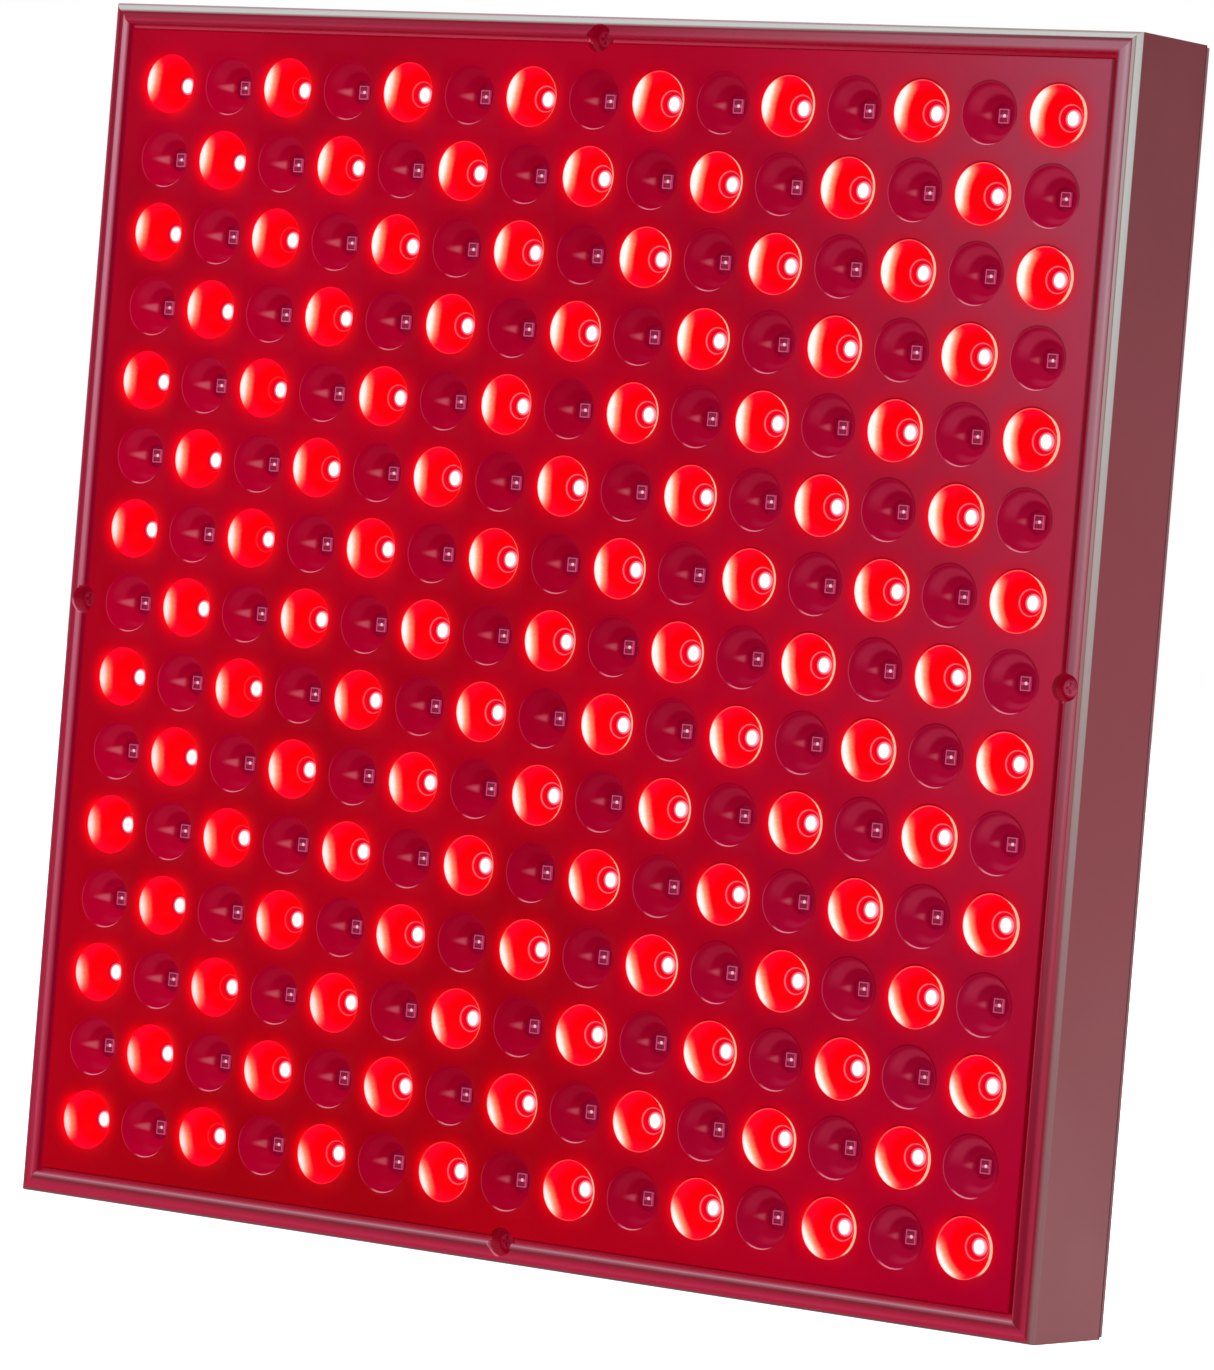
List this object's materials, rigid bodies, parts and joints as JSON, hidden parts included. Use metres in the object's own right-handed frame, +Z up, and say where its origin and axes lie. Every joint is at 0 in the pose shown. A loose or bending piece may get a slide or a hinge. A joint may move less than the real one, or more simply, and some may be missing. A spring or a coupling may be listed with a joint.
{
  "type": "red light therapy panel",
  "caption": "Square flat light therapy panel with a grid of cupped red and infrared lamps, a moulded rim, and a mains inlet and rocker switch on the back.",
  "frame": {"origin": "middle of the bottom edge that the panel stands on, at half its depth", "axes": "+X to the right when looking at the lamps, -Y is the lit front, +Z up"},
  "size_m": [0.31, 0.035, 0.31],
  "materials": {
    "frame_plastic": "moulded, satin to gloss",
    "reflector_plastic": "moulded, glossy",
    "screw_steel": "zinc plated",
    "board_laminate": "white solder mask",
    "red_lamp": "clear red lamp on a white package",
    "infrared_lamp": "clear lamp on a white package",
    "sheet_film": "insulating film",
    "cover_plastic": "moulded, fine texture",
    "brass": "bare",
    "black_plastic": "moulded, satin",
    "pin_metal": "nickel plated",
    "driver_laminate": "green solder mask",
    "block_plastic": "moulded",
    "fuse_glass": "clear with metal caps",
    "wound_copper": "enamelled wire",
    "black_epoxy": "moulded",
    "capacitor_sleeve": "shrunk sleeve",
    "sink_aluminium": "extruded",
    "ferrite": "pressed and sintered",
    "bobbin_plastic": "moulded",
    "brown_insulation": "insulated wire",
    "blue_insulation": "insulated wire",
    "green_insulation": "insulated wire",
    "red_insulation": "insulated wire",
    "connector_plastic": "moulded"
  },
  "bodies": {
    "panel": {"front_frame": "frame_plastic", "reflector_plate": "reflector_plastic", "front_screws": "screw_steel", "lamp_board": "board_laminate", "red_lamps": "red_lamp", "infrared_lamps": "infrared_lamp", "board_screws": "screw_steel", "insulating_sheet": "sheet_film", "rear_cover": "cover_plastic", "cover_screws": "screw_steel", "threaded_inserts": "brass", "inlet_housing": "black_plastic", "inlet_pins": "pin_metal", "switch_housing": "black_plastic", "switch_terminals": "pin_metal", "driver_board": "driver_laminate", "driver_screws": "screw_steel", "input_block": "block_plastic", "output_block": "block_plastic", "fuse_clips": "pin_metal", "fuse": "fuse_glass", "line_choke": "wound_copper", "rectifier": "black_epoxy", "bulk_capacitor": "capacitor_sleeve", "output_capacitors": "capacitor_sleeve", "heat_sink": "sink_aluminium", "transistor": "black_epoxy", "transformer_core": "ferrite", "transformer_bobbin": "bobbin_plastic", "transformer_winding": "wound_copper", "neutral_lead": "blue_insulation", "earth_lead": "green_insulation", "live_lead": "brown_insulation", "switched_lead": "brown_insulation", "output_leads": "red_insulation", "lamp_board_connector": "connector_plastic"},
    "switch_rocker": {"rocker": "black_plastic"}
  },
  "joints": [
    {"name": "rocker_tilt", "type": "hinge", "parent": "panel", "child": "switch_rocker", "pos_m": [0.024, 0.0116, 0.036], "axis": [1, 0, 0], "range_deg": [-20, 0]}
  ]
}
